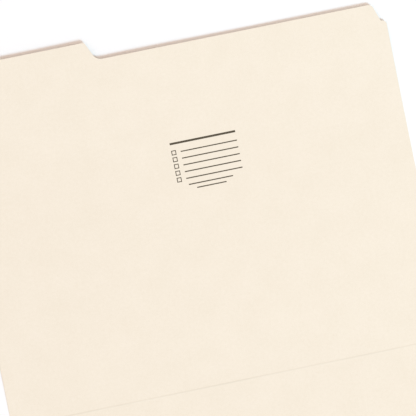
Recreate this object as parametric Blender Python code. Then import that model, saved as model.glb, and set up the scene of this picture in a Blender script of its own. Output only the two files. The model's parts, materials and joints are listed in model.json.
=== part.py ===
# Letter-size file folder of manila card, with a third-cut index tab at its left end.
# It lies open with its inside up: the back panel runs from the fold towards +Y, the front panel towards -Y.
# Sizes are in metres and +Z is up. The origin is under the middle of the open folder.

import bpy
import bmesh
from math import atan2, ceil, cos, pi, radians, tan
from mathutils import Matrix, Vector

# Card: 11 point manila, cut to the width of a letter-size folder
CARD_THICKNESS = 0.00028
PANEL_WIDTH = 0.29845
CARD_COLOUR = (0.82, 0.74, 0.62, 1.0)
CREASE_COLOUR = (0.78, 0.69, 0.57, 1.0)
CARD_ROUGHNESS = 0.72

# Heights of the two panels, from the fold to the long free edge
BACK_HEIGHT = 0.2286
FRONT_HEIGHT = 0.22225

# Index tab: its width reaches from the folder's left side to the middle of the sloped shoulder
TAB_HEIGHT = 0.0127
TAB_WIDTH = 0.1009
TAB_SHOULDER_RUN = 0.0058
TAB_TOP_RADIUS = 0.002
TAB_FOOT_RADIUS = 0.006

# Cut corner at each end of the back panel's upper edge: a steep slope down to a short ledge,
# which rounds into the side. Insets are measured from the side, drops from the upper edge.
CUT_TOP_INSET = 0.0077
CUT_TOP_RADIUS = 0.0038
CUT_FOOT_INSET = 0.0036
CUT_FOOT_DROP = 0.0118
CUT_FOOT_RADIUS = 0.0005
CUT_SIDE_DROP = 0.0124
CUT_SIDE_RADIUS = 0.0028

# Free corners of the front panel
FRONT_CORNER_RADIUS = 0.006

# Natural rise of the card: each panel bends up softly before its free edge and then runs on straight
RISE_REACH = 0.09
RISE_BEND_LENGTH = 0.06
RISE_BEND_ROWS = 8
BACK_RISE_ANGLE = radians(1.6)
FRONT_RISE_ANGLE = radians(1.0)

# Crease: pressed in from outside, so that it stands up as a low bead on the inside
CREASE_WIDTH = 0.0016
CREASE_BEAD_HEIGHT = 0.00012
CREASE_CLEARANCE = 0.00005
CREASE_FACETS = 12

# Space between the inner faces of the two panels when the folder is closed
CLOSED_GAP = 0.0006

ARC_STEP = radians(9)

FOLD_Y = (FRONT_HEIGHT - BACK_HEIGHT - TAB_HEIGHT) / 2
FOLD_AXIS_Z = CARD_THICKNESS + CLOSED_GAP / 2
PANEL_START = CREASE_WIDTH / 2 + CREASE_CLEARANCE
HALF_WIDTH = PANEL_WIDTH / 2


def card_material(name, colour):
    material = bpy.data.materials.new(name)
    material.use_nodes = True
    material.diffuse_color = colour
    shader = material.node_tree.nodes["Principled BSDF"]
    shader.inputs["Base Color"].default_value = colour
    shader.inputs["Roughness"].default_value = CARD_ROUGHNESS
    shader.inputs["Metallic"].default_value = 0.0
    return material


def turn_between(into, away):
    return atan2(into.cross(away), into.dot(away))


# Outline with rounded corners, each given as (x, y, radius). Two fillets that would run into each
# other on a short edge shrink to share it.
def rounded_outline(corners):
    count = len(corners)
    points = [Vector(corner[:2]) for corner in corners]
    edges = [points[i] - points[i - 1] for i in range(count)]
    headings = [edge.normalized() for edge in edges]
    turns = [turn_between(headings[i], headings[(i + 1) % count]) for i in range(count)]
    setbacks = [corners[i][2] * tan(abs(turns[i]) / 2) for i in range(count)]
    share = [1.0] * count
    for i in range(count):
        wanted = setbacks[i - 1] + setbacks[i]
        if wanted > edges[i].length:
            share[i - 1] = min(share[i - 1], edges[i].length / wanted)
            share[i] = min(share[i], edges[i].length / wanted)

    outline = []
    for i in range(count):
        setback = setbacks[i] * share[i]
        if setback == 0.0:
            outline.append(points[i])
            continue
        away = headings[(i + 1) % count]
        inward = (away - headings[i]).normalized()
        radius = setback / tan(abs(turns[i]) / 2)
        centre = points[i] + inward * radius / cos(turns[i] / 2)
        spoke = points[i] - headings[i] * setback - centre
        steps = ceil(abs(turns[i]) / ARC_STEP)
        for step in range(steps + 1):
            outline.append(centre + Matrix.Rotation(turns[i] * step / steps, 2) @ spoke)
    return outline


# Corner cut, listed from the side up to the top edge. The side is +1 at the right and -1 at the left.
def cut_corner(side, top):
    return [
        (side * HALF_WIDTH, top - CUT_SIDE_DROP, CUT_SIDE_RADIUS),
        (side * (HALF_WIDTH - CUT_FOOT_INSET), top - CUT_FOOT_DROP, CUT_FOOT_RADIUS),
        (side * (HALF_WIDTH - CUT_TOP_INSET), top, CUT_TOP_RADIUS),
    ]


def back_outline():
    shoulder = TAB_WIDTH - HALF_WIDTH
    tab_top = BACK_HEIGHT + TAB_HEIGHT
    fold_edge = [(-HALF_WIDTH, PANEL_START, 0.0), (HALF_WIDTH, PANEL_START, 0.0)]
    tab_shoulder = [
        (shoulder + TAB_SHOULDER_RUN / 2, BACK_HEIGHT, TAB_FOOT_RADIUS),
        (shoulder - TAB_SHOULDER_RUN / 2, tab_top, TAB_TOP_RADIUS),
    ]
    left_cut = list(reversed(cut_corner(-1, tab_top)))
    return rounded_outline(fold_edge + cut_corner(1, BACK_HEIGHT) + tab_shoulder + left_cut)


def front_outline():
    return rounded_outline([
        (-HALF_WIDTH, PANEL_START, 0.0),
        (HALF_WIDTH, PANEL_START, 0.0),
        (HALF_WIDTH, FRONT_HEIGHT, FRONT_CORNER_RADIUS),
        (-HALF_WIDTH, FRONT_HEIGHT, FRONT_CORNER_RADIUS),
    ])


# Height of the card's under side at a distance from the fold
def rise(distance, bend_start, angle):
    past = distance - bend_start
    if past <= 0.0:
        return 0.0
    if past < RISE_BEND_LENGTH:
        return tan(angle) * past ** 2 / (2 * RISE_BEND_LENGTH)
    return tan(angle) * (past - RISE_BEND_LENGTH / 2)


# Turns a sheet of faces that look up into a solid of card, which grows upwards from them
def card_object(name, sheet, material):
    mesh = bpy.data.meshes.new(name)
    sheet.to_mesh(mesh)
    sheet.free()
    mesh.materials.append(material)
    card = bpy.data.objects.new(name, mesh)
    bpy.context.scene.collection.objects.link(card)
    thickness = card.modifiers.new("card thickness", 'SOLIDIFY')
    thickness.thickness = CARD_THICKNESS
    thickness.offset = 1.0
    return card


# One panel, modelled from the fold towards its own +Y: the flat outline is cut into rows across the
# bend and lifted to the card's rise
def card_panel(name, outline, height, rise_angle, base_z, material):
    bend_start = height - RISE_REACH
    sheet = bmesh.new()
    sheet.faces.new([sheet.verts.new((point.x, point.y, 0.0)) for point in outline])
    for row in range(RISE_BEND_ROWS + 1):
        row_y = bend_start + RISE_BEND_LENGTH * row / RISE_BEND_ROWS
        everything = sheet.verts[:] + sheet.edges[:] + sheet.faces[:]
        bmesh.ops.bisect_plane(sheet, geom=everything, dist=1e-7, plane_co=(0, row_y, 0), plane_no=(0, 1, 0))
    for vert in sheet.verts:
        vert.co.z = base_z + rise(vert.co.y, bend_start, rise_angle)
    return card_object(name, sheet, material)


# The crease is as wide as the folder, and its bead rises and falls across the fold
def crease_strip(name, material):
    half = CREASE_WIDTH / 2
    sheet = bmesh.new()
    rows = []
    for i in range(CREASE_FACETS + 1):
        y = -half + CREASE_WIDTH * i / CREASE_FACETS
        bead = CREASE_BEAD_HEIGHT * (1 + cos(pi * y / half)) / 2
        rows.append([sheet.verts.new((side * HALF_WIDTH, y, bead)) for side in (-1, 1)])
    for near, far in zip(rows, rows[1:]):
        sheet.faces.new((near[0], near[1], far[1], far[0]))
    return card_object(name, sheet, material)


def fold_empty():
    fold = bpy.data.objects.new("fold_axis", None)
    fold.empty_display_size = HALF_WIDTH
    fold.location = (0, FOLD_Y, FOLD_AXIS_Z)
    bpy.context.scene.collection.objects.link(fold)
    return fold


def build_folder():
    for old in list(bpy.data.objects):
        bpy.data.objects.remove(old, do_unlink=True)

    back = card_panel("back_panel", back_outline(), BACK_HEIGHT, BACK_RISE_ANGLE, 0.0,
                      card_material("back card", CARD_COLOUR))
    back.location = (0, FOLD_Y, 0)

    crease = crease_strip("fold_crease", card_material("pressed card", CREASE_COLOUR))
    crease.location = (0, FOLD_Y, 0)

    # The front panel hangs on the fold's axis and lies the other way round
    front = card_panel("front_panel", front_outline(), FRONT_HEIGHT, FRONT_RISE_ANGLE, -FOLD_AXIS_Z,
                       card_material("front card", CARD_COLOUR))
    front.parent = fold_empty()
    front.rotation_euler = (0, 0, pi)


build_folder()
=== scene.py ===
import bpy
import bmesh
import json
from math import atan2, ceil, cos, pi, radians, sin, tan
from mathutils import Matrix, Vector


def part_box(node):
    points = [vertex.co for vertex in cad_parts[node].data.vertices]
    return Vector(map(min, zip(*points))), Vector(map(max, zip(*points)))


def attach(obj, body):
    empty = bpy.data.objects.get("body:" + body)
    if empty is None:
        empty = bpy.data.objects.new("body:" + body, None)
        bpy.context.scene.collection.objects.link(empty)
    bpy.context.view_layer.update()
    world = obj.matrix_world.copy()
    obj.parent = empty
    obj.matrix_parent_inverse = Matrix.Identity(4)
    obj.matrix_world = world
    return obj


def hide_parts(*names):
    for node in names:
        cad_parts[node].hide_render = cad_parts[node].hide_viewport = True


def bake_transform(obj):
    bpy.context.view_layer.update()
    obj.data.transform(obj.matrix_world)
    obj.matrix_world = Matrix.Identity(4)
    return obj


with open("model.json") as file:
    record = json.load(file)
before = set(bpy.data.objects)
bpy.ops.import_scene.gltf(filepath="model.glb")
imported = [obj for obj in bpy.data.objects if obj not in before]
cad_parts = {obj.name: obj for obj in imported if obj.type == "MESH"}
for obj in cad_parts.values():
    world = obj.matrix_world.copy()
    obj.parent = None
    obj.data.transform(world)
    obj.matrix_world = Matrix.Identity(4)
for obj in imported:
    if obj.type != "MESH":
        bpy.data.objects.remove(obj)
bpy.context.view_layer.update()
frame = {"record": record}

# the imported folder's own measures: where it folds, how far it reaches and how thick its card is
backLow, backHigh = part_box("back_panel")
frontLow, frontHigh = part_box("front_panel")
creaseLow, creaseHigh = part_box("fold_crease")
mounts = {mount["name"]: mount for mount in frame["record"]["mounts"]}
foldY = (creaseLow.y + creaseHigh.y) / 2
creaseHalf = (creaseHigh.y - creaseLow.y) / 2
halfWidth = backHigh.x
tabTop = backHigh.y - foldY
frontReach = foldY - frontLow.y
cardThickness = mounts["inside_back"]["pos_m"][2]
print("frame loaded: fold at y", round(foldY, 6), "and card", round(cardThickness, 6), "thick")


def pick(sockets, key):
    if isinstance(key, int):
        return sockets[key]
    return next(socket for socket in sockets if socket.enabled and socket.name == key)


# a node tree, with one method that adds any node: its settings first, then the values or links of its sockets
class Graph:
    def __init__(self, tree):
        self.tree = tree

    def add(self, kind, settings=None, sockets=None, output=0):
        node = self.tree.nodes.new(kind)
        for name, value in (settings or {}).items():
            setattr(node, name, value)
        for key, value in (sockets or {}).items():
            self.feed(node, key, value)
        return Wire(self, node, pick(node.outputs, output)) if node.outputs else node

    # a list feeds one socket with several links
    def feed(self, node, key, value):
        socket = pick(node.inputs, key)
        for item in value if isinstance(value, list) else [value]:
            if isinstance(item, Wire):
                self.tree.links.new(item.socket, socket)
            else:
                socket.default_value = item


# one output in a tree, so that sums on it are written as plain Python
class Wire:
    def __init__(self, graph, node, socket):
        self.graph = graph
        self.node = node
        self.socket = socket

    def math(self, operation, *values):
        return self.graph.add("ShaderNodeMath", {"operation": operation}, dict(enumerate(values)))

    def __add__(self, other):
        return self.math('ADD', self, other)

    def __radd__(self, other):
        return self.math('ADD', other, self)

    def __sub__(self, other):
        return self.math('SUBTRACT', self, other)

    def __rsub__(self, other):
        return self.math('SUBTRACT', other, self)

    def __mul__(self, other):
        return self.math('MULTIPLY', self, other)

    def __rmul__(self, other):
        return self.math('MULTIPLY', other, self)

    def __truediv__(self, other):
        return self.math('DIVIDE', self, other)

    def __abs__(self):
        return self.math('ABSOLUTE', self)

    def cosine(self):
        return self.math('COSINE', self)

    def roundedUp(self):
        return self.math('CEIL', self)

    def atLeast(self, limit):
        return self.math('MAXIMUM', self, limit)

    def atMost(self, limit):
        return self.math('MINIMUM', self, limit)

    def softStep(self, start, end):
        return self.graph.add("ShaderNodeMapRange", {"interpolation_type": 'SMOOTHSTEP'},
                              {"Value": self, "From Min": start, "From Max": end})

    # another output of the same node
    def also(self, name):
        return Wire(self.graph, self.node, pick(self.node.outputs, name))


cameraSettings = {
    "turn": radians(-11.52),    # the folder lies turned in the picture
    "lean": radians(-0.9),      # and the camera stands a little to the left
    "aimX": 0.0077,
    "aimFromFold": 0.1172,
    "frameWidth": 0.2777,       # how much of the folder's plane the square picture takes in
    "lens": 120.0,
    "sensor": 36.0,
}


def makeCamera(s):
    data = bpy.data.cameras.new("camera")
    data.lens = s["lens"]
    data.sensor_width = s["sensor"]
    camera = bpy.data.objects.new("camera", data)
    facing = Matrix.Rotation(s["turn"], 3, 'Z') @ Matrix.Rotation(s["lean"], 3, 'Y')
    aim = Vector((s["aimX"], foldY + s["aimFromFold"], 0))
    camera.location = aim + facing @ Vector((0, 0, s["frameWidth"] * s["lens"] / s["sensor"]))
    camera.rotation_euler = facing.to_euler()
    bpy.context.scene.collection.objects.link(camera)
    bpy.context.scene.camera = camera


# a light's colour says how brightly it lights a white sheet that lies on the floor
studioSettings = {
    "floorHalf": 6.0,
    "floorDrop": 0.00005,
    "floorColour": (0.895, 0.905, 0.905, 1),
    "floorRoughness": 0.9,
    "fillColour": (0.825, 0.627, 0.527, 1),   # warm light from all round, which colours the shadows
    "keyColour": (0.27, 0.418, 0.518),        # cool light from the lower right of the picture
    "keyFrom": Vector((0.50, -0.87)),
    "keyElevation": radians(38),
    "keyAngle": radians(18),                  # how wide it looks, which softens the shadow's edge
    "sideColour": (0.055, 0.085, 0.09),       # a little more light at the picture's right
    "sidePlace": Vector((0.75, 0.10, 0.80)),
    "sideSize": 0.5,
}


def makeFloor(s):
    half = s["floorHalf"]
    sides = ((-half, -half), (half, -half), (half, half), (-half, half))
    corners = [(x, y, -s["floorDrop"]) for x, y in sides]
    mesh = bpy.data.meshes.new("floor")
    mesh.from_pydata(corners, [], [(0, 1, 2, 3)])
    floor = bpy.data.objects.new("floor", mesh)
    bpy.context.scene.collection.objects.link(floor)
    paper = bpy.data.materials.new("backdropPaper")
    paper.use_nodes = True
    shader = paper.node_tree.nodes["Principled BSDF"]
    shader.inputs["Base Color"].default_value = s["floorColour"]
    shader.inputs["Roughness"].default_value = s["floorRoughness"]
    shader.inputs["Specular IOR Level"].default_value = 0.0
    mesh.materials.append(paper)


# the fill lights the studio, and the backdrop past the floor's edge is plain white
def makeFill(s):
    sky = bpy.data.worlds.new("studio")
    sky.use_nodes = True
    sky.node_tree.nodes.clear()
    graph = Graph(sky.node_tree)
    fill = graph.add("ShaderNodeBackground", None, {"Color": s["fillColour"]})
    white = graph.add("ShaderNodeBackground", None, {"Color": (1, 1, 1, 1)})
    seen = graph.add("ShaderNodeLightPath", output="Is Camera Ray")
    surface = graph.add("ShaderNodeMixShader", None, {0: seen, 1: fill, 2: white})
    graph.add("ShaderNodeOutputWorld", None, {"Surface": surface})
    bpy.context.scene.world = sky


def addLight(name, kind, colour, towards):
    light = bpy.data.lights.new(name, kind)
    light.color = [channel / max(colour) for channel in colour]
    holder = bpy.data.objects.new(name, light)
    holder.rotation_mode = 'QUATERNION'
    holder.rotation_quaternion = towards.to_track_quat('Z', 'Y')
    bpy.context.scene.collection.objects.link(holder)
    return holder


def makeLights(s):
    flat = s["keyFrom"].normalized() * cos(s["keyElevation"])
    key = addLight("key", 'SUN', s["keyColour"], Vector((flat.x, flat.y, sin(s["keyElevation"]))))
    key.data.angle = s["keyAngle"]
    key.data.energy = max(s["keyColour"]) * pi / sin(s["keyElevation"])

    side = addLight("side", 'AREA', s["sideColour"], s["sidePlace"])
    side.location = s["sidePlace"]
    side.data.shape = 'DISK'
    side.data.size = s["sideSize"]
    away = s["sidePlace"].length
    side.data.energy = max(s["sideColour"]) * (pi * away) ** 2 * away / s["sidePlace"].z
    bpy.context.scene.view_settings.view_transform = 'Standard'


makeCamera(cameraSettings)
makeFloor(studioSettings)
makeFill(studioSettings)
makeLights(studioSettings)
print("camera and studio ready")


manilaSettings = {
    "base": (0.800, 0.732, 0.609, 1),
    "pale": (0.840, 0.774, 0.658, 1),
    "darkFibre": (0.62, 0.51, 0.37, 1),
    "lightFibre": (0.90, 0.85, 0.755, 1),
    # painted shade: the cut rim is coloured a deeper tan than the card's face
    "cut": (0.76, 0.66, 0.52, 1),
    # painted shade: the crease is coloured darker along the fold
    "pressed": (0.741, 0.682, 0.568, 1),
    "pressedFrom": 0.0001,      # the painted shade along the crease is darkest up to here from the fold
    "shadeSize": 0.06,          # the painted shade along the crease is deeper in some stretches of about this length
    "shadeSeed": 32,
    "shadeShare": 0.7,          # how dark the crease's painted shade is on the whole, and how much that varies
    "shadeSpread": 2.1,
    "cloudSize": 0.018,
    "flockSize": 0.0022,        # the pulp lies in small flocks
    "grainSize": 0.0004,
    "cloudShare": 0.8,          # how much each of the three moves the tone from base to pale
    "flockShare": 0.9,
    "grainShare": 1.6,
    "cloudSeed": 1,
    "flockSeed": 2,
    "grainSeed": 3,
    "noiseDetail": 3.0,
    "fibreSpacings": (0.0009, 0.0014, 0.0023),
    "fibreReach": 0.48,         # half a fibre's length, as a share of its spacing
    "fibreScatter": 0.7,
    "fibreWidth": 0.000065,
    "fibreBend": 1.1,
    "bareCells": 0.25,          # the share of places without a fibre
    "darkSeed": 11,
    "lightSeed": 21,
    "darkShare": 0.28,          # how strongly a fibre shows
    "lightShare": 0.45,
    "roughness": 0.74,
    "roughnessSpread": 0.12,
    "gloss": 0.28,
    "bumpStrength": 0.5,
    "bumpHeight": 0.00004,
    "grainRelief": 0.5,         # shares of that height
    "fibreRelief": 0.25,
}

seedStep = Vector((7.3, 3.1, 0.0))     # each seed shifts its pattern by this


# a place counted in steps of one size, and shifted so that each pattern has its own stretch of noise
def stepped(place, size, seed):
    return place.graph.add("ShaderNodeVectorMath", {"operation": 'MULTIPLY_ADD'},
                           {0: place, 1: (1 / size,) * 3, 2: seedStep * seed})


def noiseAt(place, size, seed, detail):
    return place.graph.add("ShaderNodeTexNoise", {"noise_dimensions": '2D'},
                           {"Vector": stepped(place, size, seed), "Scale": 1.0, "Detail": detail})


def mixed(factor, first, second):
    return factor.graph.add("ShaderNodeMix", {"data_type": 'RGBA'},
                            {"Factor": factor, "A": first, "B": second}, output="Result")


# single fibres: each cell of a scattered pattern holds one, at its own angle, with its own bend and strength
def fibresAt(place, s, seed):
    graph = place.graph
    found = 0.0
    for i, spacing in enumerate(s["fibreSpacings"]):
        here = stepped(place, spacing, seed + i)
        centre = graph.add("ShaderNodeTexVoronoi", {"voronoi_dimensions": '2D'},
                           {"Vector": here, "Scale": 1.0, "Randomness": s["fibreScatter"]}, output="Position")
        chance = graph.add("ShaderNodeSeparateColor", None, {"Color": centre.also("Color")}, output="Red")
        away = graph.add("ShaderNodeVectorMath", {"operation": 'SUBTRACT'}, {0: here, 1: centre})
        turned = graph.add("ShaderNodeVectorRotate", {"rotation_type": 'Z_AXIS'},
                           {"Vector": away, "Angle": chance * pi})
        along = graph.add("ShaderNodeSeparateXYZ", None, {"Vector": turned}, output="X")
        across = along.also("Y") + along * along * (chance.also("Green") - 0.5) * s["fibreBend"]
        strand = 1 - abs(across).softStep(0.0, s["fibreWidth"] / spacing)
        ends = 1 - abs(along).softStep(s["fibreReach"] / 2, s["fibreReach"])
        strength = chance.also("Blue").softStep(s["bareCells"], 1.0)
        found = (strand * ends * strength).atLeast(found)
    return found


# uncoated manila: slow clouds, flocks of pulp, felted grain and fibres, read from the place on the flat card
def manilaMaterial(name, s, base, pressedLine=False):
    material = bpy.data.materials.new(name)
    material.use_nodes = True
    graph = Graph(material.node_tree)
    shader = material.node_tree.nodes["Principled BSDF"]
    place = graph.add("ShaderNodeAttribute", {"attribute_name": "cardPlace"}, output="Vector")

    cloud = noiseAt(place, s["cloudSize"], s["cloudSeed"], s["noiseDetail"]) - 0.5
    flock = noiseAt(place, s["flockSize"], s["flockSeed"], s["noiseDetail"]) - 0.5
    grain = noiseAt(place, s["grainSize"], s["grainSeed"], s["noiseDetail"]) - 0.5
    tone = cloud * s["cloudShare"] + flock * s["flockShare"] + grain * s["grainShare"] + 0.5
    colour = mixed(tone.atLeast(0).atMost(1), base, s["pale"])
    dark = fibresAt(place, s, s["darkSeed"])
    light = fibresAt(place, s, s["lightSeed"])
    colour = mixed(light * s["lightShare"], colour, s["lightFibre"])
    colour = mixed(dark * s["darkShare"], colour, s["darkFibre"])
    # painted shade along the fold: the crease is coloured darker there, more in some stretches than in others
    if pressedLine:
        across = graph.add("ShaderNodeSeparateXYZ", None, {"Vector": place}, output="Y") - foldY
        line = 1 - abs(across).softStep(s["pressedFrom"], creaseHalf)
        press = noiseAt(place, s["shadeSize"], s["shadeSeed"], s["noiseDetail"]) - 0.5
        colour = mixed(line * (press * s["shadeSpread"] + s["shadeShare"]), colour, s["pressed"])

    relief = grain * s["grainRelief"] + (dark + light) * s["fibreRelief"]
    bump = graph.add("ShaderNodeBump", None,
                     {"Strength": s["bumpStrength"], "Distance": s["bumpHeight"], "Height": relief},
                     output="Normal")
    graph.feed(shader, "Base Color", colour)
    graph.feed(shader, "Roughness", grain * s["roughnessSpread"] + s["roughness"])
    graph.feed(shader, "Normal", bump)
    graph.feed(shader, "Specular IOR Level", s["gloss"])
    return material


cardFace = manilaMaterial("manilaCard", manilaSettings, manilaSettings["base"])
# the cut rim's deeper colour is painted shade
shadedCutEdge = manilaMaterial("shadedCutCardEdge", manilaSettings, manilaSettings["cut"])
# the crease's material has painted shade along the fold
pressedCard = manilaMaterial("pressedCard", manilaSettings, manilaSettings["base"], pressedLine=True)
print("card materials ready")


# what both panels and the crease are cut and bent by
cardSettings = {
    "arcStep": radians(6),
    "smoothBelow": radians(30),
    "pitches": (0.005, 0.005),  # the grid that lets a panel bend, along the fold and away from it
    "cutTolerance": 1e-7,
    "riseReach": 0.09,          # the rise starts this far before the free edge
    "bendLength": 0.06,
    "bow": 0.23,                # the rise is this share steeper at its middle
    "bowX": -0.016,
    "bowHalf": 0.073,
    "waveHeight": 0.0003,
    "waveScale": 6.0,
    "waveDetail": 0.5,
    "flatReach": 0.05,          # the waves die out this near to the fold
    "unevenDetail": 2.0,
    "weldDistance": 0.00001,
}


def turnBetween(into, away):
    return atan2(into.cross(away), into.dot(away))


# corners are (x, y, radius): each becomes an arc, and two arcs that share a short edge shrink to fit it
def roundedOutline(corners, arcStep):
    count = len(corners)
    points = [Vector(corner[:2]) for corner in corners]
    edges = [points[i] - points[i - 1] for i in range(count)]
    headings = [edge.normalized() for edge in edges]
    turns = [turnBetween(headings[i], headings[(i + 1) % count]) for i in range(count)]
    setbacks = [corners[i][2] * tan(abs(turns[i]) / 2) for i in range(count)]
    share = [1.0] * count
    for i in range(count):
        wanted = setbacks[i - 1] + setbacks[i]
        if wanted > edges[i].length:
            share[i - 1] = min(share[i - 1], edges[i].length / wanted)
            share[i] = min(share[i], edges[i].length / wanted)
    outline = []
    for i in range(count):
        setback = setbacks[i] * share[i]
        if setback == 0.0:
            outline.append(points[i])
            continue
        inward = (headings[(i + 1) % count] - headings[i]).normalized()
        radius = setback / tan(abs(turns[i]) / 2)
        centre = points[i] + inward * radius / cos(turns[i] / 2)
        spoke = points[i] - headings[i] * setback - centre
        steps = ceil(abs(turns[i]) / arcStep)
        outline += [centre + Matrix.Rotation(turns[i] * step / steps, 2) @ spoke for step in range(steps + 1)]
    return outline


# a flat sheet cut to those corners, and into a grid so that it can bend
def gridSheet(name, corners, pitches):
    outline = roundedOutline(corners, cardSettings["arcStep"])
    sheet = bmesh.new()
    sheet.faces.new([sheet.verts.new((point.x, point.y, 0.0)) for point in outline])
    for axis, pitch in enumerate(pitches):
        low = min(point[axis] for point in outline)
        high = max(point[axis] for point in outline)
        count = ceil((high - low) / pitch)
        across = Vector((1 - axis, axis, 0))
        for i in range(1, count):
            everything = sheet.verts[:] + sheet.edges[:] + sheet.faces[:]
            bmesh.ops.bisect_plane(sheet, geom=everything, dist=cardSettings["cutTolerance"],
                                   plane_no=across, plane_co=across * (low + (high - low) * i / count))
    mesh = bpy.data.meshes.new(name)
    sheet.to_mesh(mesh)
    sheet.free()
    piece = bpy.data.objects.new(name, mesh)
    bpy.context.scene.collection.objects.link(piece)
    return piece


def newGeometryGraph(name, numbers, others):
    tree = bpy.data.node_groups.new(name, 'GeometryNodeTree')
    tree.interface.new_socket("Geometry", in_out='OUTPUT', socket_type='NodeSocketGeometry')
    tree.interface.new_socket("Geometry", in_out='INPUT', socket_type='NodeSocketGeometry')
    for label in numbers:
        tree.interface.new_socket(label, in_out='INPUT', socket_type='NodeSocketFloat')
    for label, kind in others.items():
        tree.interface.new_socket(label, in_out='INPUT', socket_type=kind)
    graph = Graph(tree)
    entry = graph.add("NodeGroupInput").node
    return graph, {item.name: Wire(graph, entry, item) for item in entry.outputs}


# keeps each point's place on the flat card, which the materials read
def keepPlace(graph, geometry, position):
    return graph.add("GeometryNodeStoreNamedAttribute", {"data_type": 'FLOAT_VECTOR', "domain": 'POINT'},
                     {"Geometry": geometry, "Name": "cardPlace", "Value": position})


# a sheet that grows upwards by a thickness into a closed solid, and the faces of its rim
def thickened(graph, sheet, thickness, weldDistance):
    top = graph.add("GeometryNodeExtrudeMesh", {"mode": 'FACES'},
                    {"Mesh": sheet, "Offset Scale": thickness, "Individual": False})
    under = graph.add("GeometryNodeFlipFaces", None, {"Mesh": sheet})
    both = graph.add("GeometryNodeJoinGeometry", None, {"Geometry": [under, top]})
    closed = graph.add("GeometryNodeMergeByDistance", None, {"Geometry": both, "Distance": weldDistance})
    return graph.add("GeometryNodeRealizeInstances", None, {"Geometry": closed}), top.also("Side")


# turns a flat sheet into card: it rises towards its free edge, bows and waves a little, carries the
# fold's uneven bead and gets its thickness
def makeCardTree():
    numbers = (
        "foldY", "riseStart", "bendLength", "riseSlope", "bow", "bowX", "bowHalf",
        "waveHeight", "waveScale", "waveDetail", "waveSeed", "flatReach",
        "beadHalf", "beadHeight", "beadUneven", "unevenScale", "unevenDetail", "thickness", "weldDistance",
    )
    kinds = {"faceMaterial": 'NodeSocketMaterial', "edgeMaterial": 'NodeSocketMaterial'}
    graph, given = newGeometryGraph("cardSheet", numbers, kinds)
    position = graph.add("GeometryNodeInputPosition")
    x = graph.add("ShaderNodeSeparateXYZ", None, {"Vector": position}, output="X")
    distance = abs(x.also("Y") - given["foldY"])

    past = (distance - given["riseStart"]).atLeast(0)
    bent = past.atMost(given["bendLength"])
    bow = (1 - abs(x - given["bowX"]).softStep(0.0, given["bowHalf"])) * given["bow"]
    slope = given["riseSlope"] * (1 + bow)
    rise = (bent * bent / (given["bendLength"] * 2) + past - bent) * slope

    waves = graph.add("ShaderNodeTexNoise", {"noise_dimensions": '4D'},
                      {"Vector": position, "W": given["waveSeed"], "Scale": given["waveScale"],
                       "Detail": given["waveDetail"]})
    wave = waves * given["waveHeight"] * distance.softStep(0.0, given["flatReach"])

    along = graph.add("ShaderNodeCombineXYZ", None, {"X": x})
    uneven = graph.add("ShaderNodeTexNoise", {"noise_dimensions": '3D'},
                       {"Vector": along, "Scale": given["unevenScale"], "Detail": given["unevenDetail"]})
    phase = distance.atMost(given["beadHalf"]) / given["beadHalf"] * pi
    bead = (phase.cosine() + 1) / 2 * given["beadHeight"] * (1 - uneven * given["beadUneven"])

    lift = graph.add("ShaderNodeCombineXYZ", None, {"Z": rise + wave + bead})
    kept = keepPlace(graph, given["Geometry"], position)
    bentSheet = graph.add("GeometryNodeSetPosition", None, {"Geometry": kept, "Offset": lift})
    whole, rim = thickened(graph, bentSheet, given["thickness"], given["weldDistance"])
    faced = graph.add("GeometryNodeSetMaterial", None, {"Geometry": whole, "Material": given["faceMaterial"]})
    edged = graph.add("GeometryNodeSetMaterial", None,
                      {"Geometry": faced, "Selection": rim, "Material": given["edgeMaterial"]})
    graph.add("NodeGroupOutput", None, {"Geometry": edged})
    return graph.tree


# runs a tree on a piece and keeps what comes out as the piece's plain mesh
def applyTree(piece, tree, values):
    modifier = piece.modifiers.new(tree.name, 'NODES')
    modifier.node_group = tree
    for item in tree.interface.items_tree:
        if item.in_out == 'INPUT' and item.name in values:
            modifier[item.identifier] = values[item.name]
    evaluated = piece.evaluated_get(bpy.context.evaluated_depsgraph_get())
    mesh = bpy.data.meshes.new_from_object(evaluated)
    piece.modifiers.remove(modifier)
    piece.data = mesh
    mesh.shade_smooth()
    mesh.set_sharp_from_angle(angle=cardSettings["smoothBelow"])


# the card tree's values: the shared ones, and the piece's own reach from the fold, rise and waves
def cardValues(reach, riseSlope, waveSeed):
    values = dict(cardSettings)
    values.update({
        "foldY": foldY, "riseStart": reach - cardSettings["riseReach"], "riseSlope": riseSlope,
        "waveSeed": waveSeed, "beadHalf": creaseHalf, "beadHeight": 0.0, "beadUneven": 0.0,
        "unevenScale": 0.0, "thickness": cardThickness, "faceMaterial": cardFace, "edgeMaterial": shadedCutEdge,
    })
    return values


cardTree = makeCardTree()

backCardSettings = {
    "cornerTop": (0.0077, 0.0, 0.0038),      # inset from the side, drop from the upper edge, radius
    "cornerFoot": (0.0036, 0.0118, 0.0005),
    "cornerSide": (0.0, 0.0124, 0.0028),
    "tabHeight": 0.0127,
    "tabWidth": 0.1009,                      # from the side to the middle of the sloped shoulder
    "shoulderRun": 0.0058,
    "shoulderRadii": (0.002, 0.006),         # at the tab's top, and where it meets the main edge
    "riseSlope": tan(radians(1.6)),
    "waveSeed": 2.0,
}


def cutCorner(s, side, top):
    return [(side * (halfWidth - inset), foldY + top - drop, radius)
            for inset, drop, radius in (s["cornerSide"], s["cornerFoot"], s["cornerTop"])]


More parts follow.
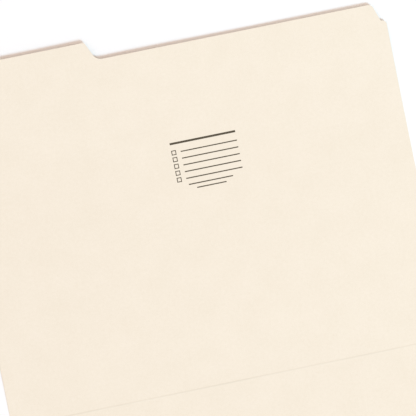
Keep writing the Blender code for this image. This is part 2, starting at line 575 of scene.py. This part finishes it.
def makeBackCard(s):
    mainTop = tabTop - s["tabHeight"]
    shoulder = s["tabWidth"] - halfWidth
    topRadius, footRadius = s["shoulderRadii"]
    corners = [(-halfWidth, foldY + creaseHalf, 0), (halfWidth, foldY + creaseHalf, 0)]
    corners += cutCorner(s, 1, mainTop)
    corners += [
        (shoulder + s["shoulderRun"] / 2, foldY + mainTop, footRadius),
        (shoulder - s["shoulderRun"] / 2, foldY + tabTop, topRadius),
    ]
    corners += reversed(cutCorner(s, -1, tabTop))
    card = gridSheet("backCard", corners, cardSettings["pitches"])
    applyTree(card, cardTree, cardValues(mainTop, s["riseSlope"], s["waveSeed"]))
    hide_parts("back_panel")
    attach(card, "back")
    return card


backCard = makeBackCard(backCardSettings)
print("back card cut and bent")


frontCardSettings = {
    "cornerRadius": 0.006,
    "riseSlope": tan(radians(1.0)),
    "waveSeed": 5.0,
}


def makeFrontCard(s):
    freeEdge = foldY - frontReach
    corners = [
        (halfWidth, foldY - creaseHalf, 0), (-halfWidth, foldY - creaseHalf, 0),
        (-halfWidth, freeEdge, s["cornerRadius"]), (halfWidth, freeEdge, s["cornerRadius"]),
    ]
    card = gridSheet("frontCard", corners, cardSettings["pitches"])
    applyTree(card, cardTree, cardValues(frontReach, s["riseSlope"], s["waveSeed"]))
    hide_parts("front_panel")
    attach(card, "front")


makeFrontCard(frontCardSettings)
print("front card cut and bent")


creaseSettings = {
    "pitches": (0.004, 0.00007),
    "beadHeight": 0.00008,
    "beadUneven": 0.9,
    "unevenScale": 18.0,
    "turnHalf": 0.0005,         # the card turns within this distance of the fold
}


def makeFoldCrease(s):
    corners = [
        (-halfWidth, foldY - creaseHalf, 0), (halfWidth, foldY - creaseHalf, 0),
        (halfWidth, foldY + creaseHalf, 0), (-halfWidth, foldY + creaseHalf, 0),
    ]
    crease = gridSheet("foldCrease", corners, s["pitches"])
    values = cardValues(frontReach, 0.0, 0.0)
    values.update({"waveHeight": 0.0, "beadHeight": s["beadHeight"], "beadUneven": s["beadUneven"],
                   "unevenScale": s["unevenScale"], "faceMaterial": pressedCard})
    applyTree(crease, cardTree, values)
    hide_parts("fold_crease")
    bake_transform(crease)


makeFoldCrease(creaseSettings)
print("crease pressed")


printSettings = {
    "centreX": 0.0134,
    "belowMainEdge": 0.0802,    # the middle of the block, from the back card's main upper edge
    "width": 0.0446,
    "headingRise": 0.0155,      # rises are counted up from the middle of the block
    "headingStroke": 0.0014,
    "rows": 5,
    "rowRise": 0.0094,
    "rowPitch": 0.0046,
    "boxSize": 0.0032,
    "boxStroke": 0.00055,
    "boxGap": 0.0031,
    "ruleStroke": 0.00075,
    "closingRise": -0.0133,
    "closingPitch": 0.003,
    "longClosing": 0.030,
    "shortClosing": 0.020,
    "bendStep": 0.0015,         # a stroke bends with the card at every step of its length
    "inkHeight": 0.000012,
    "inkSink": 0.000004,
    "lookDown": 0.05,           # the card's face is looked for from this height
}

inkSettings = {
    "ink": (0.062, 0.050, 0.031, 1),
    "worn": (0.135, 0.112, 0.078, 1),
    "wornFrom": 0.42,
    "wornTo": 0.72,
    "mottleSize": 0.0007,
    "mottleSeed": 6,
    "roughness": 0.62,
    "roughnessSpread": 0.2,
}


# matt ink that has sunk in unevenly, so that it is mottled brown-grey
def inkMaterial(s):
    material = bpy.data.materials.new("printedInk")
    material.use_nodes = True
    graph = Graph(material.node_tree)
    shader = material.node_tree.nodes["Principled BSDF"]
    place = graph.add("ShaderNodeAttribute", {"attribute_name": "cardPlace"}, output="Vector")
    mottle = noiseAt(place, s["mottleSize"], s["mottleSeed"], manilaSettings["noiseDetail"])
    graph.feed(shader, "Base Color", mixed(mottle.softStep(s["wornFrom"], s["wornTo"]), s["ink"], s["worn"]))
    graph.feed(shader, "Roughness", (mottle - 0.5) * s["roughnessSpread"] + s["roughness"])
    graph.feed(shader, "Specular IOR Level", manilaSettings["gloss"])
    return material


# a plain ruled list: a heading bar, rows of a tick box with its rule, and two short closing rules,
# all laid on the card's face and given a little thickness
def makePrintTree():
    numbers = (
        "centreX", "centreY", "width", "headingRise", "headingStroke", "rowRise", "rowPitch",
        "boxSize", "boxStroke", "boxGap", "ruleStroke", "closingRise", "closingPitch",
        "longClosing", "shortClosing", "bendStep", "inkHeight", "inkSink", "lookDown", "weldDistance",
    )
    kinds = {"rows": 'NodeSocketInt', "card": 'NodeSocketObject', "inkMaterial": 'NodeSocketMaterial'}
    graph, given = newGeometryGraph("ruledPrint", numbers, kinds)

    def vector(x=0.0, y=0.0, z=0.0):
        return graph.add("ShaderNodeCombineXYZ", None, {"X": x, "Y": y, "Z": z})

    def moved(geometry, x, y):
        return graph.add("GeometryNodeTransform", None, {"Geometry": geometry, "Translation": vector(x, y)})

    def stroke(length, height, x, y):
        points = (length / given["bendStep"]).roundedUp() + 1
        flat = graph.add("GeometryNodeMeshGrid", None,
                         {"Size X": length, "Size Y": height, "Vertices X": points, "Vertices Y": 2})
        return moved(flat, x, y)

    def tickBox(size, line, x):
        square = graph.add("GeometryNodeMeshGrid", None,
                           {"Size X": size, "Size Y": size, "Vertices X": 2, "Vertices Y": 2})
        inset = graph.add("GeometryNodeExtrudeMesh", {"mode": 'FACES'}, {"Mesh": square, "Offset Scale": 0.0})
        shrunk = graph.add("GeometryNodeScaleElements", {"domain": 'FACE'},
                           {"Geometry": inset, "Selection": inset.also("Top"), "Scale": 1 - line * 2 / size})
        ring = graph.add("GeometryNodeDeleteGeometry", {"domain": 'FACE'},
                         {"Geometry": shrunk, "Selection": inset.also("Top")})
        return moved(ring, x, 0.0)

    ruleLength = given["width"] - given["boxSize"] - given["boxGap"]
    row = graph.add("GeometryNodeJoinGeometry", None, {"Geometry": [
        tickBox(given["boxSize"], given["boxStroke"], (given["boxSize"] - given["width"]) / 2),
        stroke(ruleLength, given["ruleStroke"], (given["width"] - ruleLength) / 2, 0.0),
    ]})
    rowPlaces = graph.add("GeometryNodeMeshLine", {"mode": 'OFFSET'},
                          {"Count": given["rows"], "Start Location": vector(y=given["rowRise"]),
                           "Offset": vector(y=0 - given["rowPitch"])})
    rows = graph.add("GeometryNodeInstanceOnPoints", None, {"Points": rowPlaces, "Instance": row})
    block = graph.add("GeometryNodeJoinGeometry", None, {"Geometry": [
        stroke(given["width"], given["headingStroke"], 0.0, given["headingRise"]),
        rows,
        stroke(given["longClosing"], given["ruleStroke"], 0.0, given["closingRise"]),
        stroke(given["shortClosing"], given["ruleStroke"], 0.0, given["closingRise"] - given["closingPitch"]),
    ]})
    flat = moved(graph.add("GeometryNodeRealizeInstances", None, {"Geometry": block}),
                 given["centreX"], given["centreY"])

    position = graph.add("GeometryNodeInputPosition")
    kept = keepPlace(graph, flat, position)
    card = graph.add("GeometryNodeObjectInfo", None, {"Object": given["card"]}, output="Geometry")
    above = graph.add("ShaderNodeVectorMath", {"operation": 'ADD'},
                      {0: position, 1: vector(z=given["lookDown"])})
    face = graph.add("GeometryNodeRaycast", None,
                     {"Target Geometry": card, "Source Position": above, "Ray Direction": (0, 0, -1)},
                     output="Hit Position")
    laid = graph.add("GeometryNodeSetPosition", None,
                     {"Geometry": kept, "Position": face, "Offset": vector(z=0 - given["inkSink"])})
    whole = thickened(graph, laid, given["inkHeight"] + given["inkSink"], given["weldDistance"])[0]
    inked = graph.add("GeometryNodeSetMaterial", None, {"Geometry": whole, "Material": given["inkMaterial"]})
    graph.add("NodeGroupOutput", None, {"Geometry": inked})
    return graph.tree


def makeRuledPrint(s, card):
    block = bpy.data.objects.new("ruledPrint", bpy.data.meshes.new("ruledPrint"))
    bpy.context.scene.collection.objects.link(block)
    mainTop = tabTop - backCardSettings["tabHeight"]
    values = dict(s)
    values.update({
        "centreY": foldY + mainTop - s["belowMainEdge"], "weldDistance": s["inkSink"] / 2,
        "card": card, "inkMaterial": inkMaterial(inkSettings),
    })
    applyTree(block, makePrintTree(), values)
    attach(block, "back")


makeRuledPrint(printSettings, backCard)
print("ruled list printed")
